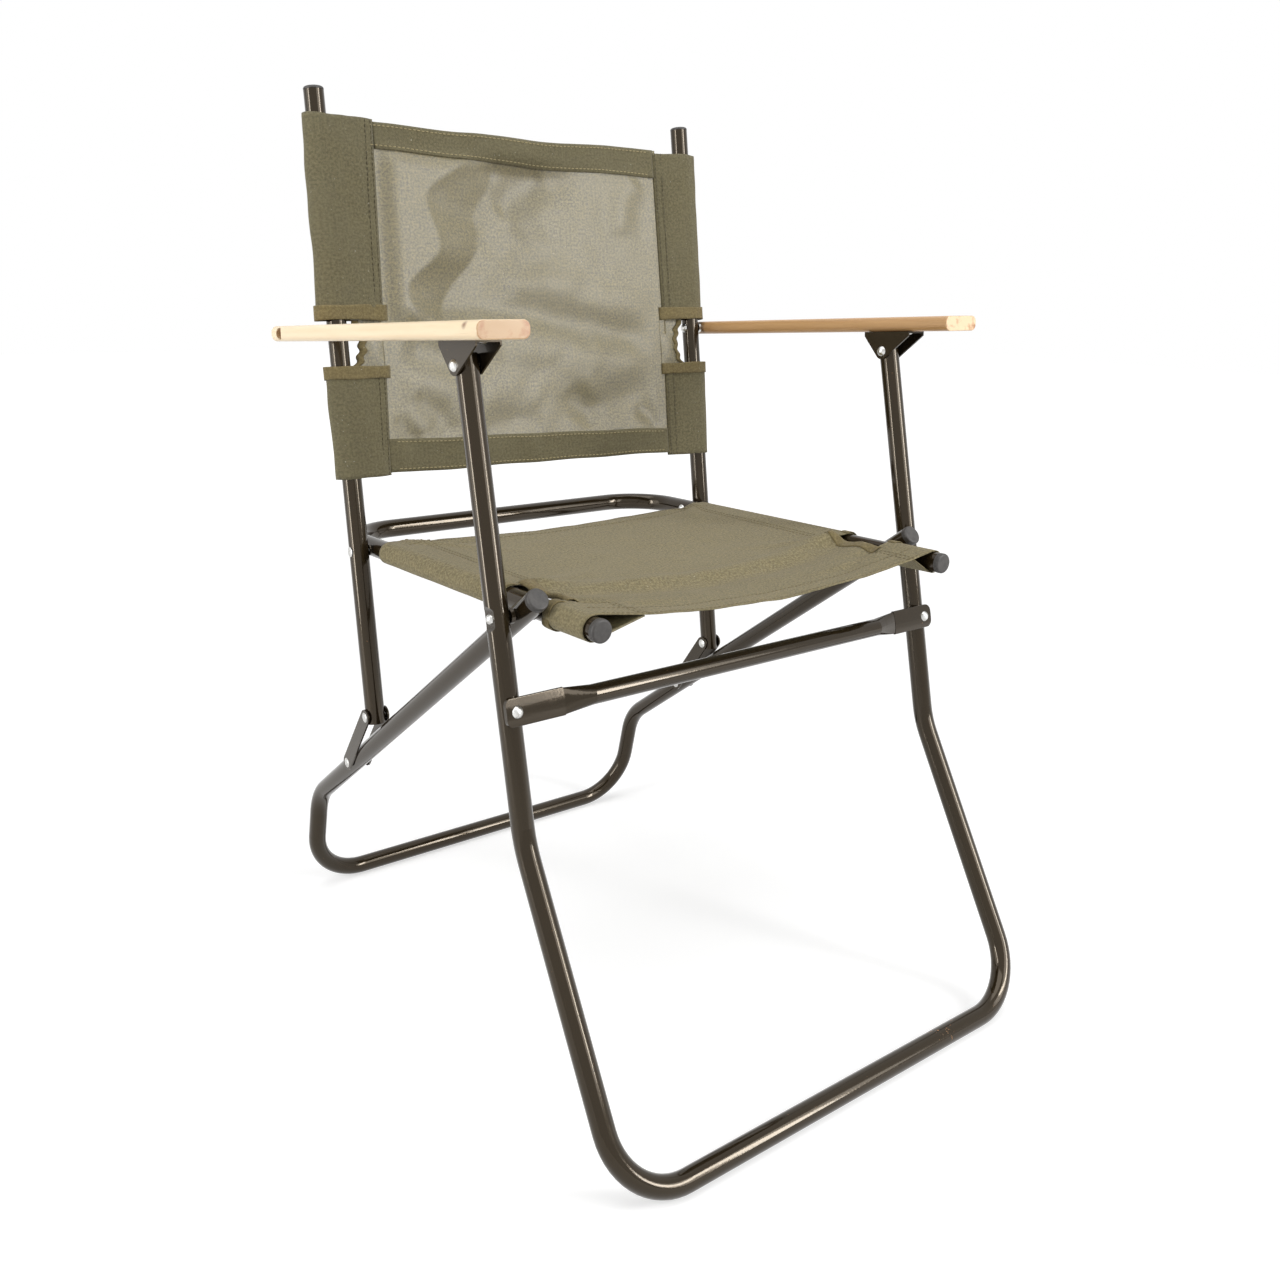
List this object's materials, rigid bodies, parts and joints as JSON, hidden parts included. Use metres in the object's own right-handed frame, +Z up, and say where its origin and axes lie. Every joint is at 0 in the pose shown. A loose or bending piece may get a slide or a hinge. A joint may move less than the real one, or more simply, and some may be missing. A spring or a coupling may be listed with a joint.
{
  "type": "folding chair",
  "caption": "Folding camp chair of bent enamelled tube with a slung canvas seat and back, wooden armrests and a linkage that folds it flat.",
  "frame": {"origin": "on the floor, midway between the front and rear floor bars, on the chair's middle plane", "axes": "+Z up, -Y towards the front of the chair, +X to the sitter's left"},
  "size_m": [0.532, 0.6108, 0.8173],
  "materials": {
    "enamelled_tube": "gloss enamel",
    "enamelled_sheet": "gloss enamel",
    "zinc_hardware": "bright zinc",
    "plug_plastic": "moulded",
    "seat_cloth": "coated canvas",
    "back_cloth": "coated canvas",
    "varnished_wood": "clear varnish"
  },
  "bodies": {
    "seat": {"seat_frame": "enamelled_tube", "seat_rail_caps": "plug_plastic", "seat_canvas": "seat_cloth", "main_pivot_pins": "zinc_hardware", "main_pivot_washers": "zinc_hardware", "seat_back_bolts": "zinc_hardware", "seat_back_washers": "zinc_hardware"},
    "back": {"back_upright_left": "enamelled_tube", "back_upright_right": "enamelled_tube", "back_upright_caps": "plug_plastic", "back_canvas": "back_cloth", "arm_rear_bolts": "zinc_hardware", "arm_rear_washers": "zinc_hardware", "link_upper_rivets": "zinc_hardware"},
    "front_legs": {"front_leg_frame": "enamelled_tube", "front_brace": "enamelled_tube", "brace_rivets": "zinc_hardware"},
    "rear_legs": {"rear_leg_frame": "enamelled_tube", "rear_leg_caps": "plug_plastic"},
    "arm_left": {"armrest_left": "varnished_wood", "arm_bracket_left": "enamelled_sheet", "bracket_screws_left": "zinc_hardware", "arm_front_rivets_left": "zinc_hardware"},
    "link_left": {"link_strips_left": "enamelled_sheet", "link_lower_rivets_left": "zinc_hardware"},
    "arm_right": {"armrest_right": "varnished_wood", "arm_bracket_right": "enamelled_sheet", "bracket_screws_right": "zinc_hardware", "arm_front_rivets_right": "zinc_hardware"},
    "link_right": {"link_strips_right": "enamelled_sheet", "link_lower_rivets_right": "zinc_hardware"}
  },
  "joints": [
    {"name": "back_fold", "type": "hinge", "parent": "seat", "child": "back", "pos_m": [0, 0.153, 0.407], "axis": [1, 0, 0], "range_deg": [0, 76]},
    {"name": "front_leg_fold", "type": "hinge", "parent": "seat", "child": "front_legs", "pos_m": [0, -0.1264, 0.4125], "axis": [1, 0, 0], "range_deg": [0, 80.86]},
    {"name": "rear_leg_fold", "type": "hinge", "parent": "seat", "child": "rear_legs", "pos_m": [0, -0.1264, 0.4125], "axis": [1, 0, 0], "range_deg": [0, 20.6]},
    {"name": "arm_left_turn", "type": "hinge", "parent": "back", "child": "arm_left", "pos_m": [0, 0.1815, 0.6046], "axis": [1, 0, 0], "range_deg": [-77.82, 0]},
    {"name": "link_left_turn", "type": "hinge", "parent": "back", "child": "link_left", "pos_m": [0, 0.1306, 0.2513], "axis": [1, 0, 0], "range_deg": [-172.27, 0]},
    {"name": "arm_right_turn", "type": "hinge", "parent": "back", "child": "arm_right", "pos_m": [0, 0.1815, 0.6046], "axis": [1, 0, 0], "range_deg": [-77.82, 0]},
    {"name": "link_right_turn", "type": "hinge", "parent": "back", "child": "link_right", "pos_m": [0, 0.1306, 0.2513], "axis": [1, 0, 0], "range_deg": [-172.27, 0]}
  ],
  "couplings": [
    {"joint": "front_leg_fold", "follows": "back_fold", "ratio": 1.0637},
    {"joint": "rear_leg_fold", "follows": "back_fold", "ratio": 0.2708},
    {"joint": "arm_left_turn", "follows": "back_fold", "ratio": -1.0237},
    {"joint": "link_left_turn", "follows": "back_fold", "ratio": -2.2664},
    {"joint": "arm_right_turn", "follows": "back_fold", "ratio": -1.0237},
    {"joint": "link_right_turn", "follows": "back_fold", "ratio": -2.2664}
  ]
}
